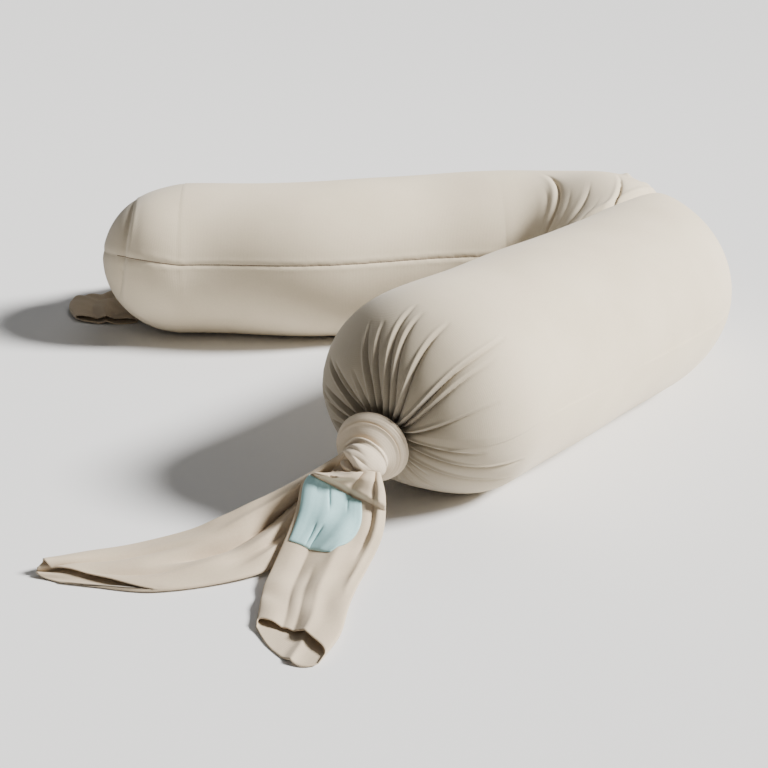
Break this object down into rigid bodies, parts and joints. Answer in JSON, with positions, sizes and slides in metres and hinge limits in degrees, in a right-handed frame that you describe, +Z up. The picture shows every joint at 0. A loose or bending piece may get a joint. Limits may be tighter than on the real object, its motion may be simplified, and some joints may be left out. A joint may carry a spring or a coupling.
{
  "type": "tied-end body pillow",
  "caption": "Long stuffed tube pillow bent into a U on the floor, each gathered end knotted into a collar with flat cloth tails, and a plain cloth label on a tail.",
  "frame": {"origin": "on the floor, under the middle of the bend, at the centre of the flattened underside", "axes": "+Z up from the floor, the U lies level and opens towards -X, +Y runs across both arms to the far arm's side"},
  "size_m": [0.9082, 1.1438, 0.2125],
  "materials": {
    "cover_jersey": "matte",
    "inner_bag_cloth": "matte",
    "bead_fill": "matte",
    "seam_thread": "matte",
    "label_weave": "matte"
  },
  "bodies": {
    "mid_bend": {"cover_mid_bend": "cover_jersey", "inner_bag_mid_bend": "inner_bag_cloth", "bead_fill_mid_bend": "bead_fill"},
    "far_bend": {"cover_far_bend": "cover_jersey", "inner_bag_far_bend": "inner_bag_cloth", "bead_fill_far_bend": "bead_fill"},
    "near_bend": {"cover_near_bend": "cover_jersey", "inner_bag_near_bend": "inner_bag_cloth", "bead_fill_near_bend": "bead_fill"},
    "far_arm": {"cover_far_arm": "cover_jersey", "inner_bag_far_arm": "inner_bag_cloth", "bead_fill_far_arm": "bead_fill", "long_seam_far_arm": "seam_thread", "rear_gathered_neck": "cover_jersey", "rear_knot_collar": "cover_jersey", "rear_knot_core": "cover_jersey"},
    "near_arm": {"cover_near_arm": "cover_jersey", "inner_bag_near_arm": "inner_bag_cloth", "bead_fill_near_arm": "bead_fill", "long_seam_near_arm": "seam_thread", "front_gathered_neck": "cover_jersey", "front_knot_collar": "cover_jersey", "front_knot_core": "cover_jersey"},
    "front_left_tail": {"front_left_tail": "cover_jersey"},
    "front_right_tail": {"front_right_tail": "cover_jersey", "woven_label": "label_weave"},
    "rear_left_tail": {"rear_left_tail": "cover_jersey"},
    "rear_back_tail": {"rear_back_tail": "cover_jersey"}
  },
  "joints": [
    {"name": "far_fold_inner", "type": "hinge", "parent": "mid_bend", "child": "far_bend", "pos_m": [0.06281, 0.11923, 0.1], "axis": [0, 0, -1], "range_deg": [-2, 33.5]},
    {"name": "far_fold_outer", "type": "hinge", "parent": "far_bend", "child": "far_arm", "pos_m": [-0.07346, 0.19791, 0.1], "axis": [0, 0, -1], "range_deg": [-2, 33.5]},
    {"name": "near_fold_inner", "type": "hinge", "parent": "mid_bend", "child": "near_bend", "pos_m": [0.13303, -0.02159, 0.1], "axis": [0, 0, 1], "range_deg": [-2, 33.5]},
    {"name": "near_fold_outer", "type": "hinge", "parent": "near_bend", "child": "near_arm", "pos_m": [0.11385, -0.17777, 0.1], "axis": [0, 0, 1], "range_deg": [-2, 33.5]},
    {"name": "front_left_tail_lift", "type": "hinge", "parent": "near_arm", "child": "front_left_tail", "pos_m": [-0.36453, -0.54705, 0.06685], "axis": [-0.2419, 0.9703, 0], "range_deg": [0, 60]},
    {"name": "front_right_tail_lift", "type": "hinge", "parent": "near_arm", "child": "front_right_tail", "pos_m": [-0.34332, -0.56582, 0.06685], "axis": [-0.9925, 0.1219, 0], "range_deg": [0, 60]},
    {"name": "rear_left_tail_lift", "type": "hinge", "parent": "far_arm", "child": "rear_left_tail", "pos_m": [-0.67697, 0.17557, 0.05885], "axis": [-0.4226, 0.9063, 0], "range_deg": [0, 60]},
    {"name": "rear_back_tail_lift", "type": "hinge", "parent": "far_arm", "child": "rear_back_tail", "pos_m": [-0.63573, 0.20286, 0.05885], "axis": [0.6691, -0.7431, 0], "range_deg": [0, 60]}
  ],
  "couplings": [
    {"joint": "far_fold_outer", "follows": "far_fold_inner", "ratio": 1},
    {"joint": "near_fold_outer", "follows": "near_fold_inner", "ratio": 1}
  ]
}
